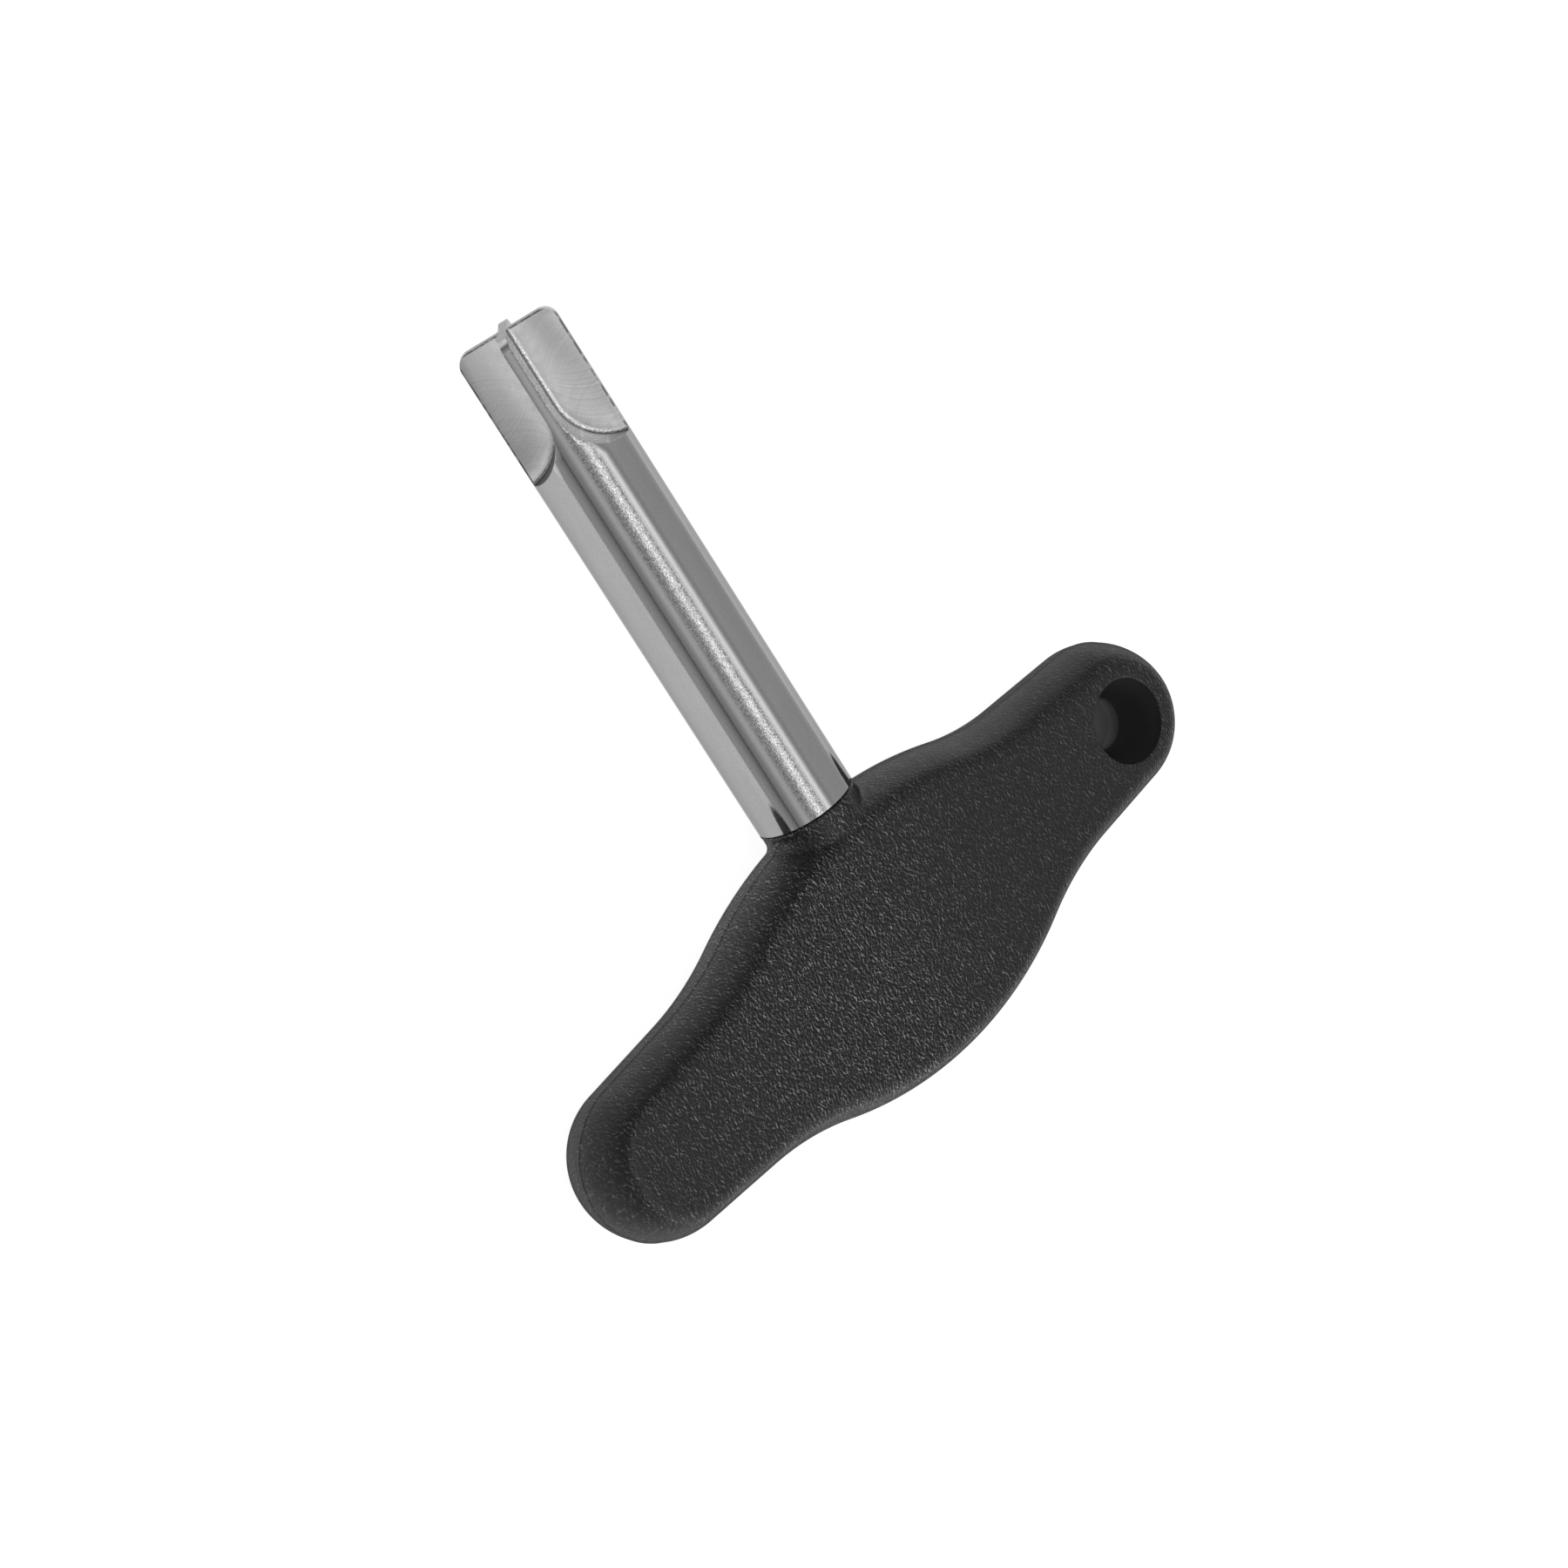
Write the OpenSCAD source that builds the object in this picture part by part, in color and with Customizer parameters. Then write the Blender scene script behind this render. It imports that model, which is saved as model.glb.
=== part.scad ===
// T-handle key with a cross-blade driver tip, lying on one broad face.
// Two separate solids: a turned and milled steel driver shaft, and the
// plastic T-handle that is moulded round the shaft's anchor.
//
// Frame: X along the handle with the hanging hole at +X, +Y along the shaft
// towards the tip, +Z up out of the upper broad face. The origin is on the
// lower broad face, under the point where the shaft axis crosses the handle's
// long centreline. All lengths "from the centreline" are along Y.

/* [Handle] */
// Overall length of the handle, end to end
handle_length = 97.2; // [92:0.1:104]
// Thickness of the handle between its two broad faces
handle_thick = 12.8; // [12.4:0.1:14]
// Radius of the two round ends, seen on the broad face
end_radius = 9.4; // [9:0.1:10]
// Distance from the centreline to the crest of the bulge on the shaft side
bulge_near = 16.0; // [15.8:0.1:16.4]
// Distance from the centreline to the crest of the bulge on the far side
bulge_far = 16.6; // [16.2:0.1:17]
// Radius of the bulge on the shaft side
bulge_near_r = 50.5; // [48:0.5:52]
// Radius of the bulge on the far side
bulge_far_r = 44.8; // [43:0.1:46]
// Radius of the hollow waists on the shaft side
waist_near_r = 33.7; // [32:0.1:36]
// Radius of the hollow waists on the far side
waist_far_r = 35.1; // [33:0.1:37]
// Slope of the straight flanks next to the round ends, in degrees
flank_slope = 3.7; // [3.2:0.1:4.2]

/* [Side wall] */
// Radius of the crown across the side wall, widest at the mould parting line
crown_r = 9.0; // [8:0.5:12]
// Radius that turns the side wall into each broad face
edge_r = 2.6; // [2.2:0.1:3]

/* [Hanging hole] */
// Distance from the shaft axis to the hole's axis
hole_x = 38.8; // [38.2:0.1:39.4]
// Diameter of the hole's mouth on each broad face
hole_mouth_d = 10.0; // [9:0.1:10.6]
// Diameter of the straight neck halfway through
hole_neck_d = 6.2; // [5:0.1:7]
// Length of the straight neck
hole_neck_l = 1.6; // [1.2:0.1:3]

/* [Collar] */
// Distance from the centreline to the collar's end face
collar_top = 17.2; // [17:0.1:18.5]
// How much narrower the collar is at its root than at its end face, on the diameter
collar_taper = 0.2; // [0.1:0.05:0.4]

/* [Shaft] */
// Diameter of the round shaft, and of the collar's end face that continues it
shaft_d = 12.0; // [11.6:0.1:12.2]
// Distance from the centreline to the driver end of the shaft
shaft_top = 79.8; // [76:0.1:95]
// Radius turned on the rim of the driver end
end_round = 1.6; // [1:0.1:2]
// Chamfer on the shaft's shoulder where it meets the collar
shoulder_chamfer = 0.2; // [0.1:0.05:0.4]

/* [Anchor inside the handle] */
// Diameter of the anchor
anchor_d = 8.6; // [8:0.1:9]
// Thickness of the anchor across its two flats
anchor_flat = 6.4; // [6:0.1:7]
// Distance below the centreline that the anchor reaches
anchor_depth = 9.5; // [8:0.1:11]
// Distance below the collar's end face at which the flats start
anchor_round_l = 4.2; // [3:0.1:6]
// Diameter at the bottom of the retaining groove
groove_d = 6.0; // [5.6:0.1:6.2]
// Width of the retaining groove
groove_w = 2.4; // [1.5:0.1:3]

/* [Driver tip] */
// Thickness of the wide blade
blade_t = 1.2; // [1:0.1:1.6]
// Thickness of the narrow rib that crosses it
rib_t = 1.05; // [0.9:0.05:1.4]
// Radius of the cutter that leaves the pockets' round ends
cutter_r = 6.3; // [6:0.1:7]
// Radius on the cutter's corner, left in the angle between blade and rib
cutter_nose = 0.4; // [0.2:0.1:0.8]
// Distance from the driver end to the cutter's last centre
pocket_l = 9.6; // [7:0.1:12]
// Turn of the blade about the shaft axis, in degrees from the broad faces, up on the hole's side
blade_turn = 38; // [0:0.5:90]

/* [Hidden] */

$fn = 96;
half_t = handle_thick / 2;          // mid-plane height: shaft axis and parting line
end_x = handle_length / 2 - end_radius;
end_ang = 90 - flank_slope;          // where each round end meets its flanks

// ---- outline of one side (towards +Y), made of tangent arcs and a line ----
// Each side is [bulge centre y, bulge r, waist r, flank length, waist centre, tangent angle]
function dot(a, b) = a[0] * b[0] + a[1] * b[1];
ne = [cos(end_ang), sin(end_ang)];   // outward normal of the flank
te = [-sin(end_ang), cos(end_ang)];  // along the flank, towards the middle
pe = [end_x, 0] + end_radius * ne;   // where the round end meets the flank
function side(crest, br, wr) =
    let (cb = [0, crest - br],
         d0 = pe + wr * ne - cb,
         b = dot(d0, te),
         root = sqrt(b * b - dot(d0, d0) + pow(br + wr, 2)),
         s = -b - root > 0 ? -b - root : -b + root,
         cw = pe + s * te + wr * ne)
    [cb[1], br, wr, s, cw, atan2(cw[1] - cb[1], cw[0])];
near = side(bulge_near, bulge_near_r, waist_near_r);
far = side(bulge_far, bulge_far_r, waist_far_r);

// ---- outline as [point, outward normal] pairs, from the middle to the end ----
function arc(c, r, a0, a1, n, first, turn) = [for (i = [first:n])
    let (a = a0 + (a1 - a0) * i / n, u = [cos(a), sin(a)]) [c + r * u, turn * u]];
function quarter(q) = concat(
    arc([0, q[0]], q[1], 90, q[5], 12, 0, 1),
    arc(q[4], q[2], q[5] + 180, end_ang + 180, 10, 1, -1),
    arc([end_x, 0], end_radius, end_ang, 0, 14, 0, 1));
function flip(v, sx, sy) = [for (p = v) [[sx * p[0][0], sy * p[0][1]], [sx * p[1][0], sy * p[1][1]]]];
// drops the first and last m points, which the neighbouring quarter already has
function rev(v, m) = [for (i = [len(v) - 1 - m:-1:m]) v[i]];
function cut(v, k) = [for (i = [0:len(v) - 1 - k]) v[i]];
outline = let (a = quarter(near), b = flip(quarter(far), 1, -1)) concat(
    a, rev(b, 1), cut(flip(b, -1, 1), 1), cut(rev(flip(a, -1, 1), 0), 1));

// ---- side wall section as [inwards, height above mid-plane], from bottom to top ----
// A crown about the parting line, then a smaller arc into the broad face.
edge_y = half_t - edge_r;
edge_c = sqrt(pow(crown_r - edge_r, 2) - pow(edge_y, 2)) - crown_r;
edge_a = atan2(edge_y, edge_c + crown_r);
half_section = concat(
    [for (i = [0:5]) let (a = edge_a * i / 5) [crown_r * (1 - cos(a)), crown_r * sin(a)]],
    [for (i = [1:6]) let (a = edge_a + (90 - edge_a) * i / 6) [-edge_c - edge_r * cos(a), edge_y + edge_r * sin(a)]]);
section = concat([for (i = [len(half_section) - 1:-1:1]) [half_section[i][0], -half_section[i][1]]], half_section);

// ---- the handle's blank: the section carried round the outline ----
module blank() {
    n = len(outline);
    m = len(section);
    pts = [for (o = outline, s = section) [o[0][0] - s[0] * o[1][0], o[0][1] - s[0] * o[1][1], half_t + s[1]]];
    sides = [for (i = [0:n - 1], j = [0:m - 2]) let (k = (i + 1) % n)
        [i * m + j, i * m + j + 1, k * m + j + 1, k * m + j]];
    polyhedron(points = pts, faces = concat(
        [[for (i = [0:n - 1]) i * m + m - 1]],
        [[for (i = [n - 1:-1:0]) i * m]],
        [for (f = sides) [f[0], f[3], f[1]]],
        [for (f = sides) [f[1], f[3], f[2]]]), convexity = 4);
}

// ---- the hanging hole: a straight neck between two cones ----
module hanging_hole() {
    cone_h = (handle_thick - hole_neck_l) / 2;
    run = (hole_mouth_d - hole_neck_d) / 2 / cone_h;
    translate([hole_x, 0, 0]) {
        translate([0, 0, -1]) cylinder(d = hole_neck_d, h = handle_thick + 2);
        for (m = [0, 1]) translate([0, 0, m * handle_thick]) mirror([0, 0, m])
            translate([0, 0, -1]) cylinder(r1 = hole_mouth_d / 2 + run, r2 = hole_neck_d / 2, h = cone_h + 1);
    }
}

// ---- things turned about the shaft axis: z there is +Y here ----
module on_axis() { translate([0, 0, half_t]) rotate([-90, 0, 0]) children(); }

// the anchor: round at the root, two flats below, one retaining groove
module anchor(top) {
    low = -anchor_depth;
    difference() {
        translate([0, 0, low]) cylinder(d = anchor_d, h = top - low);
        for (s = [-1, 1]) translate([-anchor_d, s * (anchor_flat / 2 + anchor_d / 2) - anchor_d / 2, low - 1])
            cube([2 * anchor_d, anchor_d, collar_top - anchor_round_l - low + 1]);
        translate([0, 0, low + 2.2]) difference() {
            cylinder(d = anchor_d + 2, h = groove_w);
            translate([0, 0, -1]) cylinder(d = groove_d, h = groove_w + 2);
        }
    }
}

module handle() color([0.045, 0.045, 0.047]) {
    difference() {
        union() {
            blank();
            on_axis() translate([0, 0, 6]) cylinder(d1 = shaft_d - collar_taper, d2 = shaft_d, h = collar_top - 6);
        }
        on_axis() anchor(collar_top + 1);
        hanging_hole();
    }
}

// ---- driver shaft ----
module shaft_section() {
    r = shaft_d / 2;
    translate([0, collar_top]) polygon([[0, 0], [r - shoulder_chamfer, 0], [r, shoulder_chamfer],
        [r, shaft_top - collar_top - end_round], [0, shaft_top - collar_top - end_round]]);
    translate([0, shaft_top - end_round]) square([r - end_round, end_round]);
    intersection() {
        translate([r - end_round, shaft_top - end_round]) circle(r = end_round);
        translate([r - end_round, shaft_top - end_round]) square(end_round + 1);
    }
}
// the side profile of the cutter: flat below, with a small radius on its corners
module cutter_half() {
    r = cutter_nose;
    translate([0, r]) square([cutter_r, shaft_d]);
    square([cutter_r - r, r + 1]);
    translate([cutter_r - r, r]) circle(r = r);
}
// one milled pocket: z along the shaft, x along the blade, y out of the blade
module pocket() {
    root = shaft_top - pocket_l;
    translate([rib_t / 2 + cutter_r, blade_t / 2, root]) {
        rotate([-90, 0, 0]) rotate_extrude() cutter_half();
        linear_extrude(height = pocket_l + 2) {
            cutter_half();
            mirror([1, 0, 0]) cutter_half();
        }
    }
}
module driver_shaft() color([0.78, 0.79, 0.80]) {
    on_axis() difference() {
        union() {
            rotate_extrude() shaft_section();
            anchor(collar_top + 0.5);
        }
        rotate([0, 0, -blade_turn]) for (a = [0, 1], b = [0, 1])
            mirror([a, 0, 0]) mirror([0, b, 0]) pocket();
    }
}

driver_shaft();
handle();
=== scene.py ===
"""T-handle key with a cross-blade driver tip: the looks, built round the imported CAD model."""
import math

import bmesh
import bpy
import numpy as np
from mathutils import Matrix, Vector


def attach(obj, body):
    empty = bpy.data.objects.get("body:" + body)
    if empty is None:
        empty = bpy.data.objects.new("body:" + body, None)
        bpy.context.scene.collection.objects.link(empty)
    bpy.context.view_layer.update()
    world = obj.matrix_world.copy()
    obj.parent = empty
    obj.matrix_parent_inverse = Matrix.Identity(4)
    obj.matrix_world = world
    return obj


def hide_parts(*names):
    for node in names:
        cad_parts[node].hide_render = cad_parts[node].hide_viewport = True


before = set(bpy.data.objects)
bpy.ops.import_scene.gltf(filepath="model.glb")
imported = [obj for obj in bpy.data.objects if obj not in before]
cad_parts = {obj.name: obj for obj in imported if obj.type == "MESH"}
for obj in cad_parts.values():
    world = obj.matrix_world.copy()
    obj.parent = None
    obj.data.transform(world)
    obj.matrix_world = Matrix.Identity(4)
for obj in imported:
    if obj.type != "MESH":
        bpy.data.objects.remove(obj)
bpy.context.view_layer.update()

MM = 0.001
scene = bpy.context.scene

# ------------------------------------------------------------------ sizes, in mm
# The same driving sizes as the CAD source.
HANDLE_L, T, END_R = 97.2, 12.8, 9.4
NEAR, FAR = (16.0, 50.5, 33.7), (16.6, 44.8, 35.1)   # crest, bulge radius, waist radius
SLOPE, CROWN_R, EDGE_R = 3.7, 9.0, 2.6
HOLE_X, MOUTH_R, NECK_R, NECK_L = 38.8, 5.0, 3.1, 1.6
SHAFT_R, COLLAR_TOP, SHAFT_TOP = 6.0, 17.2, 79.8
END_ROUND, SHOULDER = 1.6, 0.2
ANCHOR_R, ANCHOR_FLAT, ANCHOR_LOW, ANCHOR_ROUND, GROOVE_R, GROOVE_W = 4.3, 6.4, -9.5, 4.2, 3.0, 2.4
BLADE_T, RIB_T, CUTTER_R, NOSE, POCKET_L, TURN = 1.2, 1.05, 6.3, 0.4, 9.6, 38.0
H = T / 2
XE = HANDLE_L / 2 - END_R
EA = 90 - SLOPE


# ------------------------------------------------------------------ helpers
def link(ob):
    scene.collection.objects.link(ob)
    return ob


def mesh_object(name, verts, faces, smooth=True):
    me = bpy.data.meshes.new(name)
    me.from_pydata([tuple(v) for v in verts], [], [tuple(f) for f in faces])
    me.validate()
    me.update()
    for p in me.polygons:
        p.use_smooth = smooth
    return link(bpy.data.objects.new(name, me))


def apply_modifiers(ob):
    dg = bpy.context.evaluated_depsgraph_get()
    me = bpy.data.meshes.new_from_object(ob.evaluated_get(dg), depsgraph=dg)
    ob.modifiers.clear()
    old = ob.data
    ob.data = me
    bpy.data.meshes.remove(old)


def boolean(ob, cutter, op="DIFFERENCE"):
    m = ob.modifiers.new("cut", "BOOLEAN")
    m.operation, m.object, m.solver = op, cutter, "EXACT"
    apply_modifiers(ob)


def lathe(name, profile, n, phase=0.0):
    """A closed solid of revolution about z from (r, z) points that start and end on the axis."""
    verts, rings = [], []
    for r, z in profile:
        if r < 1e-9:
            rings.append([len(verts)])
            verts.append((0, 0, z))
        else:
            rings.append(list(range(len(verts), len(verts) + n)))
            for i in range(n):
                a = 2 * math.pi * i / n + phase
                verts.append((r * math.cos(a), r * math.sin(a), z))
    faces = []
    for a, b in zip(rings, rings[1:]):
        for i in range(n):
            j = (i + 1) % n
            if len(a) == 1 and len(b) == 1:
                continue
            if len(a) == 1:
                faces.append((a[0], b[j], b[i]))
            elif len(b) == 1:
                faces.append((a[i], a[j], b[0]))
            else:
                faces.append((a[i], a[j], b[j], b[i]))
    return mesh_object(name, verts, faces)


# ------------------------------------------------------------------ the handle's shape
def side(crest, br, wr):
    ne = np.array([math.cos(math.radians(EA)), math.sin(math.radians(EA))])
    te = np.array([-ne[1], ne[0]])
    pe = np.array([XE, 0.0]) + END_R * ne
    cb = np.array([0.0, crest - br])
    d0 = pe + wr * ne - cb
    b = d0 @ te
    root = math.sqrt(b * b - d0 @ d0 + (br + wr) ** 2)
    s = -b - root if -b - root > 0 else -b + root
    cw = pe + s * te + wr * ne
    ang = math.degrees(math.atan2(cw[1] - cb[1], cw[0]))
    return dict(ne=ne, te=te, pe=pe, cb=cb[1], br=br, wr=wr, s=s, cw=cw, ang=ang)


SIDES = [(side(*NEAR), 1.0), (side(*FAR), -1.0)]
EDGE_Y = H - EDGE_R
EDGE_C = math.sqrt((CROWN_R - EDGE_R) ** 2 - EDGE_Y**2) - CROWN_R
EDGE_A = math.atan2(EDGE_Y, EDGE_C + CROWN_R)


def outline_d(x, y):
    """Signed distance to the handle's outline, seen on the broad face (negative inside)."""
    ax = np.abs(x)
    best = np.full(ax.shape, -9.0)
    near = np.full(ax.shape, 1e9)

    def take(ok, d):
        m = ok & (np.abs(d) < near)
        best[m] = d[m]
        near[m] = np.abs(d[m])

    for q, sg in SIDES:
        yy = y * sg
        a = np.degrees(np.arctan2(yy - q["cb"], ax))
        take((a >= q["ang"]) & (a <= 90.0001), np.hypot(ax, yy - q["cb"]) - q["br"])
        vx, vy = ax - q["cw"][0], yy - q["cw"][1]
        a = np.degrees(np.arctan2(vy, vx)) % 360
        take((a >= q["ang"] + 180) & (a <= EA + 180), q["wr"] - np.hypot(vx, vy))
        px, py = ax - q["pe"][0], yy - q["pe"][1]
        t = px * q["te"][0] + py * q["te"][1]
        take((t >= 0) & (t <= q["s"]), px * q["ne"][0] + py * q["ne"][1])
    a = np.degrees(np.arctan2(y, ax - XE))
    take(np.abs(a) <= EA, np.hypot(ax - XE, y) - END_R)
    return best


def section_d(rho, z):
    """Signed distance to the rim's section, where rho is the distance to the outline."""
    az = np.abs(z)
    ang = np.arctan2(az, rho + CROWN_R)
    crown = np.hypot(rho + CROWN_R, az) - CROWN_R
    edge = np.hypot(rho - EDGE_C, az - EDGE_Y) - EDGE_R
    return np.where(rho < EDGE_C, az - H, np.where(ang < EDGE_A, crown, edge))


FILLET = 0.85
SEAM_H, SEAM_W = 0.075, 0.11


def handle_f(x, y, z, rho=None):
    """The handle's outside as a field that is negative inside; z is from mid-plane."""
    if rho is None:
        rho = outline_d(x, y)
    body = section_d(rho, z)
    # collar with a slightly rounded rim
    r = np.hypot(x, z)
    rr = 0.22
    qa, qb = r - SHAFT_R + rr, y - COLLAR_TOP + rr
    collar = np.minimum(np.maximum(qa, qb), 0) + np.hypot(np.maximum(qa, 0), np.maximum(qb, 0)) - rr
    collar = np.maximum(collar, 6.0 - y)
    # fillet between them, which fades where the two surfaces run the same way
    az = np.abs(z)
    ang = np.minimum(np.arctan2(az, rho + CROWN_R), EDGE_A)
    gz = np.where(np.arctan2(az, rho + CROWN_R) < EDGE_A, np.sin(ang),
                  np.clip((az - EDGE_Y) / EDGE_R, 0, 1))
    gr = np.sqrt(np.clip(1 - gz * gz, 0, 1))
    cbx, cby = x, y - SIDES[0][0]["cb"]
    cl = np.hypot(cbx, cby)
    dot = (gr * cbx / cl * x + gz * az) / np.maximum(r, 1e-6)
    f = FILLET * np.clip(1.05 - dot, 0.02, 1)
    u, v = np.maximum(f - body, 0), np.maximum(f - collar, 0)
    both = np.maximum(f, np.minimum(body, collar)) - np.hypot(u, v)
    out = np.where((y > 8) & (np.abs(x) < 9), np.minimum(both, np.minimum(body, collar)), body)
    out = np.maximum(out, az - H)
    # the mould's parting line, a hair-fine raised seam
    fade = np.clip((COLLAR_TOP - 0.25 - y) / 0.3, 0, 1) * np.clip(2 * (1 - az / H), 0, 1)
    return out + SEAM_H * (1 - np.exp(-((z / SEAM_W) ** 2))) * fade + 0.004


def surface_net(xs, ys, zs, field):
    """Dual surface of field = 0 on a grid with uneven lines; returns points and quads."""
    v = field(xs, ys, zs)
    s = v < 0
    c = np.zeros(tuple(n - 1 for n in s.shape), np.int8)
    for i in (0, 1):
        for j in (0, 1):
            for k in (0, 1):
                c += s[i:c.shape[0] + i, j:c.shape[1] + j, k:c.shape[2] + k]
    act = (c > 0) & (c < 8)
    idx = np.full(c.shape, -1, np.int64)
    idx[act] = np.arange(act.sum())
    pos = np.zeros((int(act.sum()), 3))
    cnt = np.zeros(len(pos))
    quads = []
    grid = (xs, ys, zs)
    for ax in range(3):
        a = [slice(None)] * 3
        b = [slice(None)] * 3
        a[ax], b[ax] = slice(0, -1), slice(1, None)
        va, vb = v[tuple(a)], v[tuple(b)]
        ii = np.argwhere((va < 0) != (vb < 0))
        fa, fb = va[tuple(ii.T)], vb[tuple(ii.T)]
        t = fa / (fa - fb)
        p = np.stack([grid[d][ii[:, d]] for d in range(3)], 1)
        p[:, ax] += t * (grid[ax][ii[:, ax] + 1] - grid[ax][ii[:, ax]])
        o1, o2 = [d for d in range(3) if d != ax]
        cells = []
        for d1, d2 in ((1, 1), (0, 1), (0, 0), (1, 0)):
            q = ii.copy()
            q[:, o1] -= d1
            q[:, o2] -= d2
            cell = idx[tuple(q.T)]
            np.add.at(pos, cell, p)
            np.add.at(cnt, cell, 1)
            cells.append(cell)
        q = np.stack(cells, 1)
        rev = (fa < 0) if ax != 1 else (fa >= 0)
        q[~rev] = q[~rev][:, ::-1]
        quads.append(q)
    return pos / cnt[:, None], np.vstack(quads)


def spread(*spans):
    """Grid lines from (start, end, step) spans laid end to end."""
    out = []
    for a, b, st in spans:
        n = max(1, round((b - a) / st))
        out += [a + (b - a) * i / n for i in range(n)]
    out.append(spans[-1][1])
    return np.array(out)


def make_handle():
    xs = spread((-49.1, -9.1, 0.4), (-9.1, 9.1, 0.2), (9.1, 49.1, 0.4))
    ys = spread((-17.1, 11.9, 0.4), (11.9, 17.7, 0.2))
    zh = spread((0.0, 0.36, 0.06), (0.36, 6.8, 0.39))
    zs = np.concatenate([-zh[:0:-1], zh])

    def field(a, b, c):
        X, Y = np.meshgrid(a, b, indexing="ij")
        rho = outline_d(X, Y)[:, :, None]
        return handle_f(X[:, :, None] + 0 * c, Y[:, :, None] + 0 * c, 0 * X[:, :, None] + c, rho + 0 * c)

    p, q = surface_net(xs, ys, zs, field)

    def settle(p, rounds):
        e = 0.01
        for _ in range(rounds):
            f0 = handle_f(p[:, 0], p[:, 1], p[:, 2])
            g = np.stack([
                handle_f(p[:, 0] + e, p[:, 1], p[:, 2]) - handle_f(p[:, 0] - e, p[:, 1], p[:, 2]),
                handle_f(p[:, 0], p[:, 1] + e, p[:, 2]) - handle_f(p[:, 0], p[:, 1] - e, p[:, 2]),
                handle_f(p[:, 0], p[:, 1], p[:, 2] + e) - handle_f(p[:, 0], p[:, 1], p[:, 2] - e)], 1) / (2 * e)
            step = (f0 / np.maximum((g * g).sum(1), 0.25))[:, None] * g
            n = np.linalg.norm(step, axis=1, keepdims=True)
            p = p - step * np.minimum(1, 0.25 / np.maximum(n, 1e-9))
        return p

    p = settle(p, 3)
    # slide the points along the surface for even quads, then settle again
    edges = np.vstack([q[:, [0, 1]], q[:, [1, 2]], q[:, [2, 3]], q[:, [3, 0]]])
    for _ in range(3):
        acc = np.zeros_like(p)
        k = np.zeros(len(p))
        np.add.at(acc, edges[:, 0], p[edges[:, 1]])
        np.add.at(acc, edges[:, 1], p[edges[:, 0]])
        np.add.at(k, edges[:, 0], 1)
        np.add.at(k, edges[:, 1], 1)
        mean = acc / k[:, None]
        mean[:, 2] = np.where(np.abs(p[:, 2]) < 0.5, p[:, 2], mean[:, 2])
        p = settle(0.5 * p + 0.5 * mean, 2)
    p = p * MM
    p[:, 2] += H * MM
    ob = mesh_object("handle_moulding", p, q)
    return ob


handle = make_handle()
print("handle", len(handle.data.vertices), len(handle.data.polygons))


def hole_cutter():
    """Two cones and a neck, with the mouth's edge eased over."""
    half = []
    cone_h = (T - NECK_L) / 2
    slope = math.atan2(MOUTH_R - NECK_R, cone_h)     # the wall's lean from the axis
    ease = 0.35
    # the easing arc is tangent to the cone; its centre lies inside the plastic
    cz = H - ease
    cr = MOUTH_R - (H - cz) * math.tan(slope) + ease / math.cos(slope)
    half.append((cr + 0.9, H + 0.9 * math.tan(math.radians(14)) + 0.008))
    for i in range(9):
        a = math.radians(104) + (math.pi - slope - math.radians(104)) * i / 8
        half.append((cr + ease * math.cos(a), cz + ease * math.sin(a)))
    half.append((NECK_R, NECK_L / 2))
    top = [(0.0, half[0][1])] + half
    prof = top + [(r, -z) for r, z in reversed(top)]
    prof = list(reversed(prof))
    ob = lathe("hole_cutter", [(r * MM, z * MM) for r, z in prof], 144)
    ob.data.transform(Matrix.Translation((HOLE_X * MM, 0, H * MM)))
    return ob


cut = hole_cutter()
boolean(handle, cut)
bpy.data.objects.remove(cut)


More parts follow.
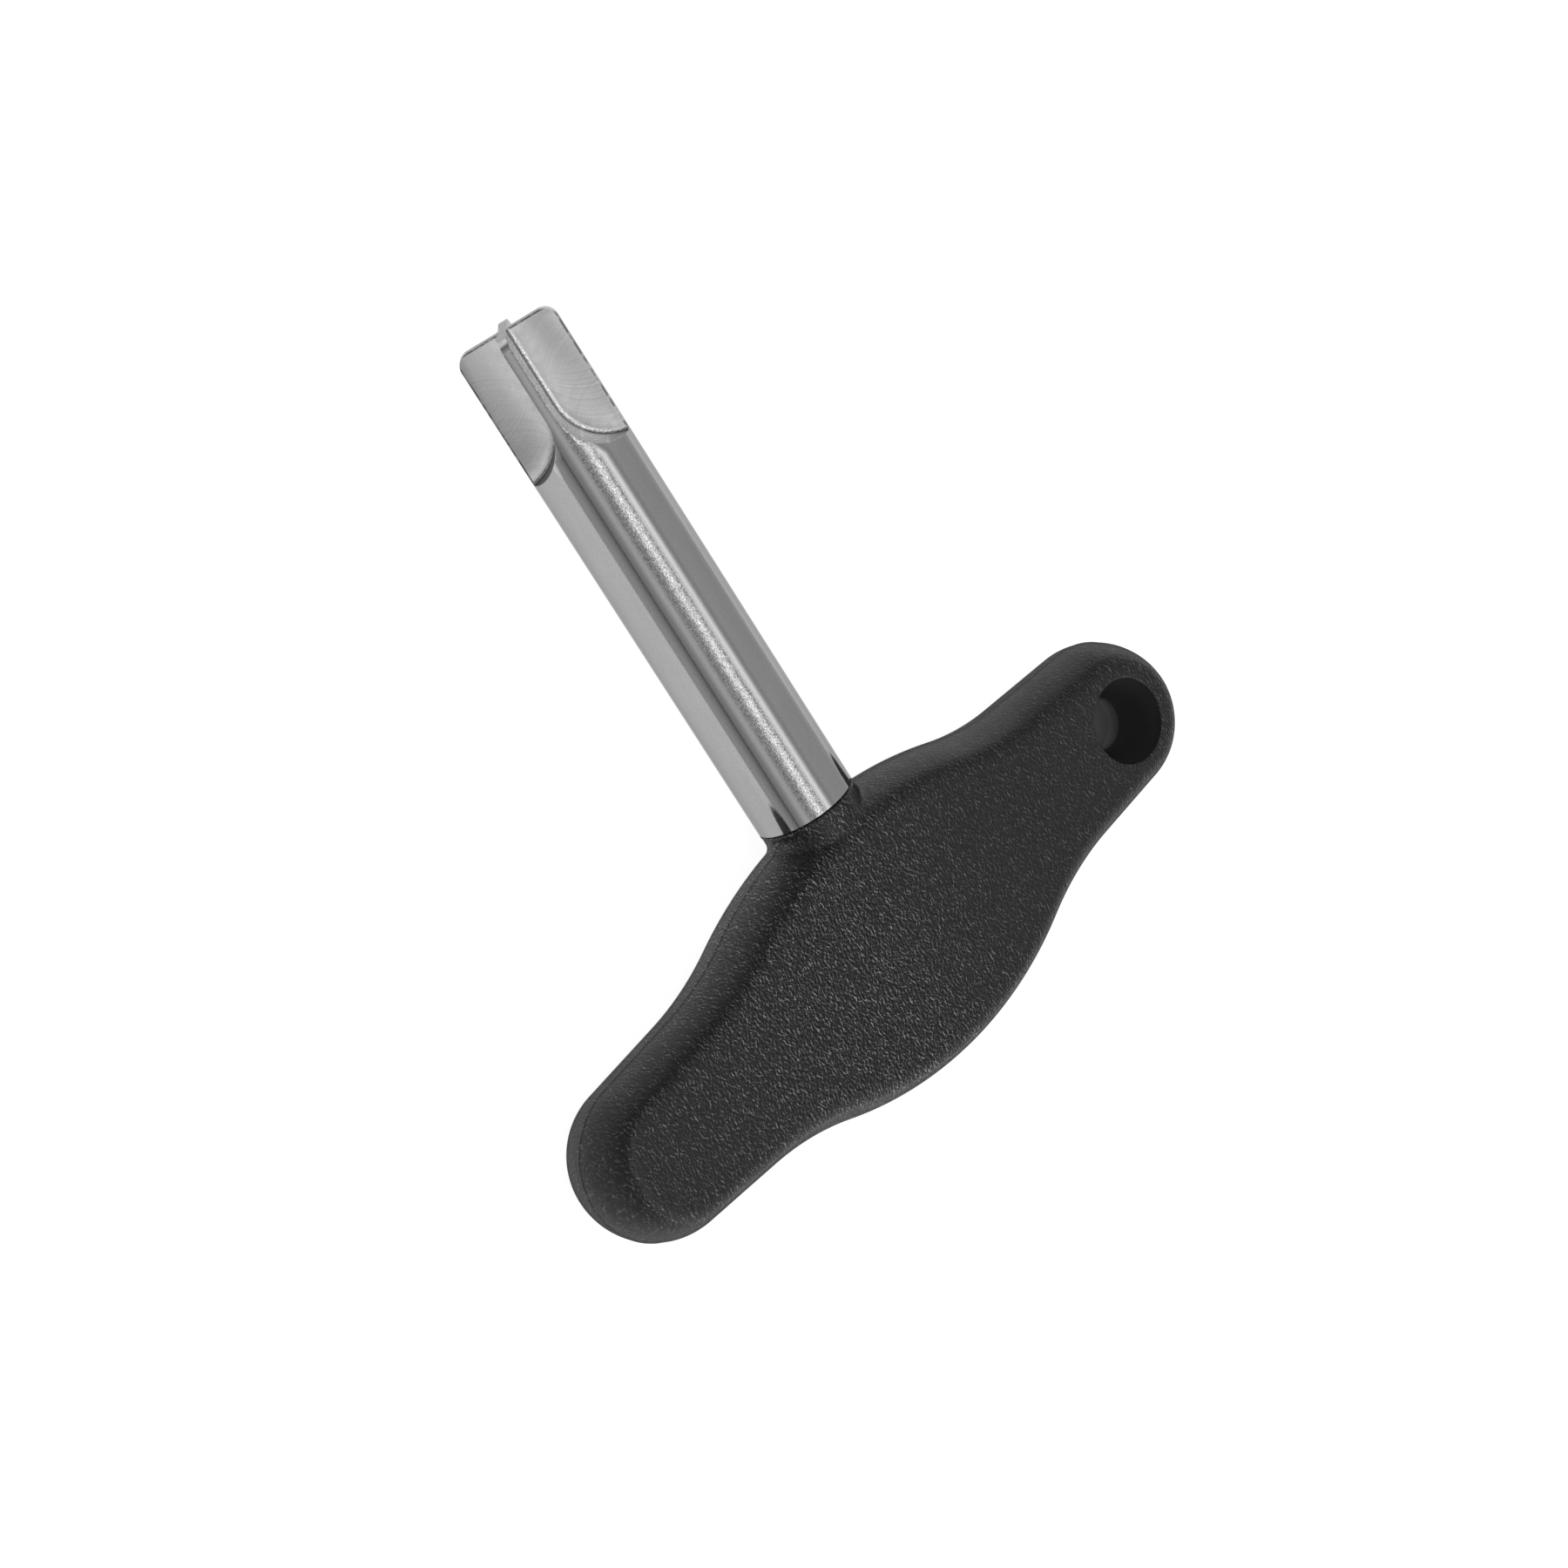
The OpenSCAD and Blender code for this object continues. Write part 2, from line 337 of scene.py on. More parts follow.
# ------------------------------------------------------------------ the shaft
def make_shaft():
    """Turned and milled bar; its own frame has x along the blade, y out of it, z along the shaft."""
    low = ANCHOR_LOW
    prof = [(0, low), (ANCHOR_R, low), (ANCHOR_R, low + 2.2), (GROOVE_R, low + 2.2),
            (GROOVE_R, low + 2.2 + GROOVE_W), (ANCHOR_R, low + 2.2 + GROOVE_W),
            (ANCHOR_R, COLLAR_TOP - ANCHOR_ROUND), (ANCHOR_R, COLLAR_TOP), (SHAFT_R - SHOULDER, COLLAR_TOP),
            (SHAFT_R, COLLAR_TOP + SHOULDER)]
    top = SHAFT_TOP - END_ROUND
    n = 30
    z0 = COLLAR_TOP + SHOULDER
    prof += [(SHAFT_R, z0 + (top - z0) * i / n) for i in range(1, n + 1)]
    prof += [(SHAFT_R - END_ROUND + END_ROUND * math.cos(a), top + END_ROUND * math.sin(a))
             for a in (math.radians(9 * i) for i in range(1, 11))]
    prof += [(3.0, SHAFT_TOP), (0, SHAFT_TOP)]
    ob = lathe("shaft_bar", [(r * MM, z * MM) for r, z in prof], 192, math.radians(0.9))

    def box(x0, x1, y0, y1, z0, z1):
        v = [(x * MM, y * MM, z * MM) for x in (x0, x1) for y in (y0, y1) for z in (z0, z1)]
        f = [(0, 1, 3, 2), (4, 6, 7, 5), (0, 4, 5, 1), (2, 3, 7, 6), (0, 2, 6, 4), (1, 5, 7, 3)]
        return mesh_object("box", v, f, False)

    cutters = []
    # the flats lie along the row's X, so they are turned back from the blade's frame
    for s in (-1, 1):
        a, b = sorted((s * ANCHOR_FLAT / 2, s * 9))
        c = box(-9, 9, a, b, low - 1, COLLAR_TOP - ANCHOR_ROUND)
        c.data.transform(Matrix.Rotation(math.radians(TURN), 4, "Z"))
        cutters.append(c)
    root = SHAFT_TOP - POCKET_L
    cx = RIB_T / 2 + CUTTER_R
    steps = 104
    arc = [math.pi + math.pi * i / steps for i in range(steps + 1)]
    # (height over the floor, how far the wall stands in) up the cutter's rounded corner
    lift = [(NOSE * (1 - math.cos(math.radians(15 * i))), NOSE * (1 - math.sin(math.radians(15 * i)))) for i in range(7)]
    lift.append((9.0, 0.0))
    for sx in (-1, 1):
        for sy in (-1, 1):
            v, m = [], steps + 3
            for h, d in lift:
                rr = CUTTER_R - d
                ring = [(cx + rr * math.cos(t), root + rr * math.sin(t)) for t in arc]
                ring += [(cx + rr, SHAFT_TOP + 2), (cx - rr, SHAFT_TOP + 2)]
                v += [(sx * x * MM, sy * (BLADE_T / 2 + h) * MM, z * MM) for x, z in ring]
            top = m * (len(lift) - 1)
            f = [tuple(range(m)), tuple(reversed(range(top, top + m)))]
            for k in range(len(lift) - 1):
                f += [(k * m + i, k * m + (i + 1) % m, (k + 1) * m + (i + 1) % m, (k + 1) * m + i) for i in range(m)]
            c = mesh_object("pocket", v, f, False)
            bm = bmesh.new()
            bm.from_mesh(c.data)
            bmesh.ops.recalc_face_normals(bm, faces=bm.faces)
            bm.to_mesh(c.data)
            bm.free()
            cutters.append(c)
    for c in cutters:
        boolean(ob, c)
        bpy.data.objects.remove(c)
    bm = bmesh.new()
    bm.from_mesh(ob.data)
    bmesh.ops.remove_doubles(bm, verts=bm.verts, dist=0.012 * MM)
    bmesh.ops.dissolve_degenerate(bm, dist=0.004 * MM, edges=bm.edges)
    sharp = [e for e in bm.edges if len(e.link_faces) == 2 and e.calc_face_angle(0) > math.radians(30)
             and min(v.co.z for v in e.verts) > (COLLAR_TOP + 5) * MM]
    bmesh.ops.bevel(bm, geom=sharp, offset=EDGE_BREAK * MM, offset_type="OFFSET", segments=2, profile=0.5,
                    affect="EDGES", clamp_overlap=True)
    for f in bm.faces:
        f.smooth = True
    for e in bm.edges:
        if len(e.link_faces) == 2:
            e.smooth = e.calc_face_angle(0) < math.radians(50 if e.verts[0].co.z > (COLLAR_TOP + 5) * MM else 24)
    print("shaft edges broken", len(sharp), "faces", len(bm.faces), "open", sum(len(e.link_faces) != 2 for e in bm.edges),
          "volume", round(bm.calc_volume() * 1e9, 1))
    bm.transform(ON_AXIS_M @ Matrix.Rotation(math.radians(-TURN), 4, "Z"))
    bm.to_mesh(ob.data)
    bm.free()
    return ob


EDGE_BREAK = 0.07
# z of a lathed piece goes to +Y of the row frame, at the shaft's height
ON_AXIS_M = Matrix.Translation((0, 0, H * MM)) @ Matrix.Rotation(-math.pi / 2, 4, "X")
shaft = make_shaft()

# the socket: what the anchor fills, taken out of the moulding
sock = bpy.data.objects.new("sock", shaft.data.copy())
link(sock)
boolean(handle, sock)
bpy.data.objects.remove(sock)
for p in handle.data.polygons:
    p.use_smooth = True
bm = bmesh.new()
bm.from_mesh(handle.data)
bmesh.ops.dissolve_degenerate(bm, dist=0.003 * MM, edges=bm.edges)
print("handle open edges", sum(len(e.link_faces) != 2 for e in bm.edges), "volume", round(bm.calc_volume() * 1e9, 1),
      "least face mm2", min(f.calc_area() for f in bm.faces) * 1e6)
for e in bm.edges:
    if len(e.link_faces) == 2:
        e.smooth = e.calc_face_angle(0) < math.radians(40)
bm.to_mesh(handle.data)
bm.free()
print("handle", len(handle.data.vertices), "shaft", len(shaft.data.vertices))


# ------------------------------------------------------------------ shader helpers
class Net:
    """A node tree with short calls for maths on its sockets."""

    def __init__(self, tree):
        self.t = tree
        self.t.nodes.clear()

    def node(self, kind, ins=None, **props):
        n = self.t.nodes.new(kind)
        for k, v in props.items():
            setattr(n, k, v)
        for k, v in (ins or {}).items():
            self.put(n.inputs[k], v)  # by name, or by number
        return n

    def put(self, sock, v):
        if isinstance(v, bpy.types.NodeSocket):
            self.t.links.new(v, sock)
        else:
            sock.default_value = v

    def m(self, op, *a, clamp=False):
        n = self.t.nodes.new("ShaderNodeMath")
        n.operation, n.use_clamp = op, clamp
        for i, v in enumerate(a):
            self.put(n.inputs[i], v)
        return n.outputs[0]

    def vmul(self, v, s):
        n = self.t.nodes.new("ShaderNodeVectorMath")
        n.operation = "MULTIPLY"
        self.put(n.inputs[0], v)
        n.inputs[1].default_value = s
        return n.outputs[0]

    def noise(self, vec, scale, detail=2.0, rough=0.5, dist=0.0):
        n = self.node("ShaderNodeTexNoise", {"Vector": vec, "Scale": scale, "Detail": detail,
                                             "Roughness": rough, "Distortion": dist})
        return n.outputs[0]

    def span(self, v, a, b, c=0.0, d=1.0, smooth=True):
        n = self.node("ShaderNodeMapRange", {"Value": v, "From Min": a, "From Max": b, "To Min": c, "To Max": d})
        n.interpolation_type = "SMOOTHSTEP" if smooth else "LINEAR"
        return n.outputs[0]

    def mix(self, f, a, b):
        """Numbers a to b by f."""
        return self.m("ADD", a, self.m("MULTIPLY", f, self.m("SUBTRACT", b, a)))

    def grey(self, v, tint=(1.0, 1.0, 1.0)):
        n = self.node("ShaderNodeCombineColor")
        for i in range(3):
            self.put(n.inputs[i], self.m("MULTIPLY", v, tint[i]))
        return n.outputs[0]

    def bump(self, h, dist, normal=None, strength=1.0):
        n = self.node("ShaderNodeBump", {"Height": h, "Distance": dist, "Strength": strength})
        if normal is not None:
            self.put(n.inputs["Normal"], normal)
        return n.outputs[0]


def material(name):
    mat = bpy.data.materials.new(name)
    mat.use_nodes = True
    return mat, Net(mat.node_tree)


def finish_material(n, **ins):
    b = n.node("ShaderNodeBsdfPrincipled")
    for k, v in ins.items():
        n.put(b.inputs[k.replace("_", " ")], v)
    out = n.node("ShaderNodeOutputMaterial")
    n.t.links.new(b.outputs[0], out.inputs[0])
    return b


# ------------------------------------------------------------------ black moulded plastic
def plastic():
    mat, n = material("black_plastic")
    co = n.node("ShaderNodeTexCoord").outputs["Object"]
    xyz = n.node("ShaderNodeSeparateXYZ", {"Vector": co})
    x, y, z = xyz.outputs
    # how far from the hanging hole's axis: the core pin left its wall smooth
    hx = n.m("SUBTRACT", x, HOLE_X * MM)
    hr = n.m("SQRT", n.m("ADD", n.m("MULTIPLY", hx, hx), n.m("MULTIPLY", y, y)))
    zc = n.m("ABSOLUTE", n.m("SUBTRACT", z, H * MM))
    in_hole = n.m("MULTIPLY", n.span(hr, 5.3 * MM, 5.0 * MM), n.span(zc, (H - 0.02) * MM, (H - 0.3) * MM))
    grainy = n.m("SUBTRACT", 1.0, n.m("MULTIPLY", in_hole, 0.94))
    # spark-eroded grain: short rounded ridges about a third of a millimetre apart, drawn out along the shaft's way
    def ridges(dx=0.0):
        q = n.node("ShaderNodeVectorMath", {0: co, 1: (dx * MM, 0.25 * dx * MM, 0.1 * dx * MM)}, operation="ADD").outputs[0]
        q = n.vmul(q, (1.0, 0.72, 0.9))
        return n.noise(q, 3300.0, 1.0, 0.5, 0.45)

    g1 = ridges()
    g2 = n.noise(co, 6000.0, 1.0, 0.5)
    g3 = n.noise(co, 1100.0, 2.0, 0.5)
    h = n.m("ADD", n.m("MULTIPLY", g1, 1.0), n.m("MULTIPLY", g2, 0.16))
    h = n.m("ADD", h, n.m("MULTIPLY", g3, 0.2))
    # which flank of a ridge this is, as an emboss lit from one side: the flanks facing it get painted highlights, the
    # hollows behind them painted shade
    emboss_slope = n.m("SUBTRACT", ridges(-0.05), ridges(0.05))
    face = n.span(zc, (H - 0.8) * MM, (H - 0.5) * MM)
    # a band of painted glints where the light's reflection falls on the grain: strongest left of the middle, faint
    # towards the hole; the grain's bump is deeper there too
    off = n.m("DIVIDE", n.m("ADD", x, 9 * MM), n.mix(n.m("LESS_THAN", x, -9 * MM), 15 * MM, 24 * MM))
    deep = n.m("EXPONENT", n.m("MULTIPLY", n.m("MULTIPLY", off, off), -1.0))
    deep = n.m("ADD", n.mix(n.span(x, -16 * MM, 4 * MM), 0.38, 0.30), n.m("MULTIPLY", deep, n.mix(n.span(x, -16 * MM, 4 * MM), 0.66, 0.7)))
    nor = n.bump(n.m("MULTIPLY", h, n.m("MULTIPLY", grainy, n.mix(face, 0.34, n.mix(deep, 0.35, 1.0)))), 0.12 * MM)
    # colour: near black, with faint clouding, and painted highlights and painted shade on the grain's flanks
    cloud = n.noise(co, 60.0, 3.0, 0.55)
    glint_and_shade_amount = n.m("MULTIPLY", grainy, n.m("MULTIPLY", n.mix(face, 0.55, 1.0), deep))
    painted_glints = n.m("MULTIPLY", n.m("POWER", n.span(emboss_slope, 0.015, 0.17, 0, 1, False), 1.5), n.span(g3, 0.38, 0.72, 0.35, 1.7))
    painted_glints = n.m("MULTIPLY", painted_glints, glint_and_shade_amount)
    painted_pit_shade = n.m("MULTIPLY", n.span(emboss_slope, -0.01, -0.10, 0, 1, False), glint_and_shade_amount)
    # the side wall's base is painted a little lighter than the broad face's: painted light on the side wall
    base = n.m("ADD", n.mix(face, 0.011, 0.0085), n.m("MULTIPLY", cloud, 0.005))
    base = n.m("MULTIPLY", base, n.m("SUBTRACT", 1.0, n.m("MULTIPLY", painted_pit_shade, 0.8)))
    base = n.m("ADD", base, n.m("MULTIPLY", painted_glints, 0.19))
    edge = n.span(n.node("ShaderNodeNewGeometry").outputs["Pointiness"], 0.52, 0.62)
    base = n.m("ADD", base, n.m("MULTIPLY", edge, 0.006))
    # painted light in the hanging hole: its wall's colour is painted lighter, as if lit from below through the hole,
    # and a painted highlight rings the neck's edge
    neck = n.m("MULTIPLY", in_hole, n.m("MULTIPLY", n.span(zc, (NECK_L / 2 + 0.12) * MM, (NECK_L / 2 + 0.02) * MM), 0.045))
    base = n.m("ADD", n.m("MULTIPLY", base, n.m("ADD", 1.0, n.m("MULTIPLY", in_hole, 0.9))), neck)
    rough = n.m("ADD", 0.30, n.m("MULTIPLY", n.noise(co, 240.0, 3.0, 0.6), 0.14))
    rough = n.m("ADD", rough, n.m("MULTIPLY", in_hole, 0.12))
    graze = n.node("ShaderNodeLayerWeight", {"Blend": 0.5}).outputs["Facing"]
    spec = n.m("ADD", 0.30, n.m("MULTIPLY", n.m("MINIMUM", painted_glints, 1.0), 0.4))
    spec = n.m("MULTIPLY", spec, n.m("SUBTRACT", 1.0, n.m("ADD", n.m("MULTIPLY", painted_pit_shade, 0.45), n.m("MULTIPLY", in_hole, 0.5))))
    spec = n.m("MULTIPLY", spec, n.span(graze, 0.40, 0.85, 1.0, 0.03))
    # the side wall is a little duller towards both ends
    spec = n.m("MULTIPLY", spec, n.mix(face, n.span(n.m("ABSOLUTE", x), 14 * MM, 34 * MM, 1.0, 0.76), 1.0))
    finish_material(n, Base_Color=n.grey(base, (1.0, 1.0, 1.02)), Roughness=rough, Normal=nor, Specular_IOR_Level=spec)
    return mat


# ------------------------------------------------------------------ bright plated steel
def steel():
    mat, n = material("plated_steel")
    row = n.node("ShaderNodeSeparateXYZ", {"Vector": n.node("ShaderNodeTexCoord").outputs["Object"]}).outputs
    # the blade's own frame: x along it, y out of it, z along the shaft
    c, sn = math.cos(math.radians(TURN)), math.sin(math.radians(TURN))
    up = n.m("SUBTRACT", row[2], H * MM)
    x = n.m("ADD", n.m("MULTIPLY", row[0], c), n.m("MULTIPLY", up, sn))
    y = n.m("SUBTRACT", n.m("MULTIPLY", row[0], sn), n.m("MULTIPLY", up, c))
    z = row[1]
    co = n.node("ShaderNodeCombineXYZ", {"X": x, "Y": y, "Z": z}).outputs[0]
    ax, ay = n.m("ABSOLUTE", x), n.m("ABSOLUTE", y)
    # milled: inside the four pockets, under the bar's own surface
    r = n.m("SQRT", n.m("ADD", n.m("MULTIPLY", x, x), n.m("MULTIPLY", y, y)))
    deep = n.span(r, (SHAFT_R - 0.01) * MM, (SHAFT_R - 0.06) * MM)
    tip = n.span(z, (SHAFT_TOP - POCKET_L - CUTTER_R - 0.3) * MM, (SHAFT_TOP - POCKET_L - CUTTER_R) * MM)
    milled = n.m("MULTIPLY", n.m("MULTIPLY", deep, tip), n.span(z, (SHAFT_TOP - 0.005) * MM, (SHAFT_TOP - 0.03) * MM))
    floor_ = n.m("MULTIPLY", milled, n.span(ay, (BLADE_T / 2 + 0.05) * MM, (BLADE_T / 2 + 0.01) * MM))
    # cutter sweeps on the pocket floors: arcs that follow the cutter's own round
    dx = n.m("SUBTRACT", ax, (RIB_T / 2 + CUTTER_R) * MM)
    rr = (CUTTER_R * MM) ** 2
    sag = n.m("SQRT", n.m("MAXIMUM", n.m("SUBTRACT", rr, n.m("MULTIPLY", dx, dx)), 0.0))
    wob = n.m("MULTIPLY", n.noise(co, 350.0, 2.0, 0.5), 0.3 * MM)
    ph = n.m("ADD", n.m("ADD", z, sag), wob)
    arcs = n.noise(n.node("ShaderNodeCombineXYZ", {"X": ph}).outputs[0], 3600.0, 3.0, 0.65)
    arcs2 = n.noise(n.node("ShaderNodeCombineXYZ", {"X": ph}).outputs[0], 900.0, 2.0, 0.5)
    ph = n.m("ADD", n.m("SUBTRACT", z, sag), wob)
    back = n.noise(n.node("ShaderNodeCombineXYZ", {"X": ph}).outputs[0], 2200.0, 3.0, 0.6)
    low = n.span(z, (SHAFT_TOP - 3) * MM, (SHAFT_TOP - 9) * MM)
    # the nose radius at the foot of the walls, with burrs and painted highlight specks; wall is how far inside the
    # sweep's edge
    wall = n.m("SUBTRACT", CUTTER_R * MM, n.m("ABSOLUTE", dx))
    dz = n.m("SUBTRACT", z, (SHAFT_TOP - POCKET_L) * MM)
    round_ = n.m("SUBTRACT", CUTTER_R * MM, n.m("SQRT", n.m("ADD", n.m("MULTIPLY", dx, dx), n.m("MULTIPLY", dz, dz))))
    wall = n.mix(n.m("LESS_THAN", dz, 0.0), wall, round_)
    nose = n.m("MULTIPLY", n.m("MULTIPLY", milled, n.span(ay, (BLADE_T / 2 + NOSE + 0.1) * MM, (BLADE_T / 2 + NOSE - 0.1) * MM)),
               n.span(wall, (NOSE + 0.12) * MM, NOSE * MM))
    near = n.m("MULTIPLY", floor_, n.span(wall, 3.2 * MM, 0.5 * MM))
    # burrs: along the rib's outer edges, where painted highlight specks go too, and along the blade's outline and the
    # rim of the pockets, which are darker
    spot = n.noise(co, 6500.0, 2.0, 0.65)
    run = n.noise(co, 1100.0, 2.0, 0.5)
    lip = n.m("MULTIPLY", n.m("MULTIPLY", tip, n.span(n.m("ABSOLUTE", n.m("SUBTRACT", ax, RIB_T / 2 * MM)), 0.15 * MM, 0.05 * MM)),
              n.span(ay, (BLADE_T / 2 + 0.8) * MM, (BLADE_T / 2 + 1.2) * MM))
    lip = n.m("MULTIPLY", lip, n.m("MULTIPLY", n.span(dz, -0.3 * MM, 0.3 * MM), n.span(z, (SHAFT_TOP - 0.1) * MM, (SHAFT_TOP - 1.2) * MM)))
    # the x > 0 side of the blade, whose burrs get brighter painted highlight specks and whose sweeps stand out more
    bright = n.m("GREATER_THAN", x, 0.0)
    rim = n.m("MULTIPLY", tip, n.m("MAXIMUM", n.span(r, (SHAFT_R - 0.24) * MM, (SHAFT_R - 0.12) * MM),
                                   n.span(z, (SHAFT_TOP - 0.24) * MM, (SHAFT_TOP - 0.12) * MM)))
    rim = n.m("MULTIPLY", rim, n.span(ay, (BLADE_T / 2 + 0.05) * MM, (BLADE_T / 2 + 0.01) * MM))
    rim = n.m("MULTIPLY", rim, n.span(ay, (BLADE_T / 2 - 0.09) * MM, (BLADE_T / 2 - 0.05) * MM))
    # fine grain of the plating, and faint lines along it; on the band of the bar where the bright streak of light
    # falls the grain is coarser and carries painted highlight speckles
    ang = n.m("DEGREES", n.m("ARCTAN2", up, row[0]))
    strip = n.m("MULTIPLY", n.span(ang, 102.0, 107.0), n.span(ang, 127.0, 120.0))
    turned = n.m("SUBTRACT", 1.0, milled)
    strip = n.m("MULTIPLY", strip, turned)
    grain = n.noise(n.vmul(co, (1.0, 1.0, 0.45)), 7200.0, 2.0, 0.6)
    peel = n.noise(n.vmul(co, (1.0, 1.0, 0.6)), 7600.0, 2.0, 0.7)
    lines = n.noise(n.vmul(co, (1.0, 1.0, 0.012)), 3000.0, 2.0, 0.6)
    swell = n.noise(n.vmul(co, (1.0, 1.0, 0.16)), 420.0, 2.0, 0.5)
    nor = n.bump(n.m("MULTIPLY", swell, turned), 0.003 * MM)
    nor = n.bump(n.m("MULTIPLY", lines, turned), 0.0010 * MM, nor)
    nor = n.bump(n.m("MULTIPLY", grain, n.mix(milled, 0.5, 0.8)), 0.0040 * MM, nor)
    nor = n.bump(n.m("MULTIPLY", peel, strip), 0.015 * MM, nor)
    sweep = n.m("MULTIPLY", n.m("ADD", arcs, n.m("MULTIPLY", arcs2, 0.8)), n.mix(low, 0.15, 1.0))
    sweep = n.m("ADD", sweep, n.m("MULTIPLY", back, n.mix(low, 0.7, 0.1)))
    sweep = n.m("MULTIPLY", sweep, n.mix(bright, 0.45, 1.0))
    nor = n.bump(n.m("MULTIPLY", sweep, floor_), 0.005 * MM, nor)
    side_wall = n.m("MULTIPLY", milled, n.m("SUBTRACT", 1.0, floor_))
    burrs_and_glints = n.m("MAXIMUM", n.m("MAXIMUM", n.m("MULTIPLY", nose, 0.8), lip), n.m("MULTIPLY", side_wall, 0.17))
    nor = n.bump(n.m("MULTIPLY", spot, burrs_and_glints), 0.03 * MM, nor)
    tone = n.m("ADD", 0.37, n.m("MULTIPLY", n.m("SUBTRACT", n.noise(n.vmul(co, (1, 1, 0.2)), 500.0, 3.0, 0.6), 0.5), 0.07))
    tone = n.m("ADD", tone, n.m("MULTIPLY", n.m("SUBTRACT", grain, 0.5), 0.11))
    tone = n.m("ADD", tone, n.m("MULTIPLY", milled, 0.10))
    tone = n.m("ADD", tone, n.m("MULTIPLY", floor_, 0.15))
    tone = n.m("ADD", tone, n.m("MULTIPLY", n.m("MULTIPLY", floor_, n.m("MULTIPLY", n.mix(low, 0.25, 1.0), n.mix(bright, 0.5, 1.0))), n.m("MULTIPLY", n.m("SUBTRACT", arcs, 0.45), 0.5)))
    tone = n.m("ADD", tone, n.m("MULTIPLY", n.m("MULTIPLY", floor_, n.m("SUBTRACT", back, 0.5)), 0.22))
    tone = n.m("ADD", tone, n.m("MULTIPLY", near, n.m("MULTIPLY", run, 0.26)))
    # painted highlight specks on the burrs, brighter on the x > 0 side; dark specks in them, heavier on the other side
    tone = n.m("ADD", tone, n.m("MULTIPLY", n.m("MULTIPLY", burrs_and_glints, n.mix(bright, 0.15, 1.0)), n.m("MULTIPLY", n.span(spot, 0.50, 0.62), 0.55)))
    tone = n.m("SUBTRACT", tone, n.m("MULTIPLY", n.m("MULTIPLY", burrs_and_glints, n.mix(bright, 1.3, 0.8)), n.m("MULTIPLY", n.span(spot, 0.47, 0.36), 0.26)))
    # a dark line where the nose radius meets the wall, and painted shade darkening the end of the left pockets' walls
    dark_nose_line = n.m("MULTIPLY", nose, n.m("MULTIPLY", n.span(ay, (BLADE_T / 2 + NOSE - 0.2) * MM, (BLADE_T / 2 + NOSE - 0.12) * MM),
                                       n.span(ay, (BLADE_T / 2 + NOSE) * MM, (BLADE_T / 2 + NOSE - 0.06) * MM)))
    tone = n.m("MULTIPLY", tone, n.m("SUBTRACT", 1.0, n.m("MULTIPLY", dark_nose_line, n.span(run, 0.35, 0.6, 0.35, 0.8))))
    pocket_end_shade = n.m("MULTIPLY", n.m("MULTIPLY", side_wall, n.m("SUBTRACT", 1.0, bright)), n.span(dz, -2.0 * MM, -4.5 * MM))
    tone = n.m("MULTIPLY", tone, n.m("SUBTRACT", 1.0, n.m("MULTIPLY", pocket_end_shade, 0.5)))
    # painted highlight speckles in the bright streak's band
    tone = n.m("ADD", tone, n.m("MULTIPLY", strip, n.m("MULTIPLY", n.m("SUBTRACT", peel, 0.5), 1.1)))
    tone = n.m("MULTIPLY", tone, n.m("SUBTRACT", 1.0, n.m("MULTIPLY", rim, n.span(run, 0.38, 0.56, 0.25, 0.75))))
    # painted highlight: the sharp edges are made lighter
    edge = n.span(n.node("ShaderNodeNewGeometry").outputs["Pointiness"], 0.53, 0.7)
    tone = n.m("ADD", tone, n.m("MULTIPLY", edge, 0.12))
    tone = n.m("MINIMUM", n.m("MAXIMUM", tone, 0.03), 0.97)
    rough = n.m("ADD", 0.055, n.m("MULTIPLY", n.noise(n.vmul(co, (1, 1, 0.1)), 800.0, 3.0, 0.6), 0.05))
    rough = n.m("ADD", rough, n.m("MULTIPLY", milled, 0.18))
    rough = n.m("ADD", rough, n.m("MULTIPLY", burrs_and_glints, 0.1))
    finish_material(n, Base_Color=n.grey(tone), Metallic=1.0, Roughness=rough, Normal=nor, Specular_Tint=(0.62, 0.62, 0.62, 1))
    return mat


PLASTIC, STEEL = plastic(), steel()
for ob, mat in ((handle, PLASTIC), (shaft, STEEL)):
    ob.data.materials.clear()
    ob.data.materials.append(mat)

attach(handle, "root")
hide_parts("handle")
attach(shaft, "root")
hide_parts("driver_shaft")

# ------------------------------------------------------------------ floor
floor = mesh_object("floor", [(-3, -3, 0), (3, -3, 0), (3, 3, 0), (-3, 3, 0)], [(0, 1, 2, 3)])
mat, n = material("paper_floor")
co = n.node("ShaderNodeTexCoord").outputs["Object"]
finish_material(n, Base_Color=n.grey(n.m("ADD", 0.17, n.m("MULTIPLY", n.noise(co, 40.0, 3.0, 0.5), 0.01))), Roughness=0.9,
                Specular_IOR_Level=0.1, Emission_Color=(1, 1, 1, 1), Emission_Strength=0.95)
floor.data.materials.append(mat)

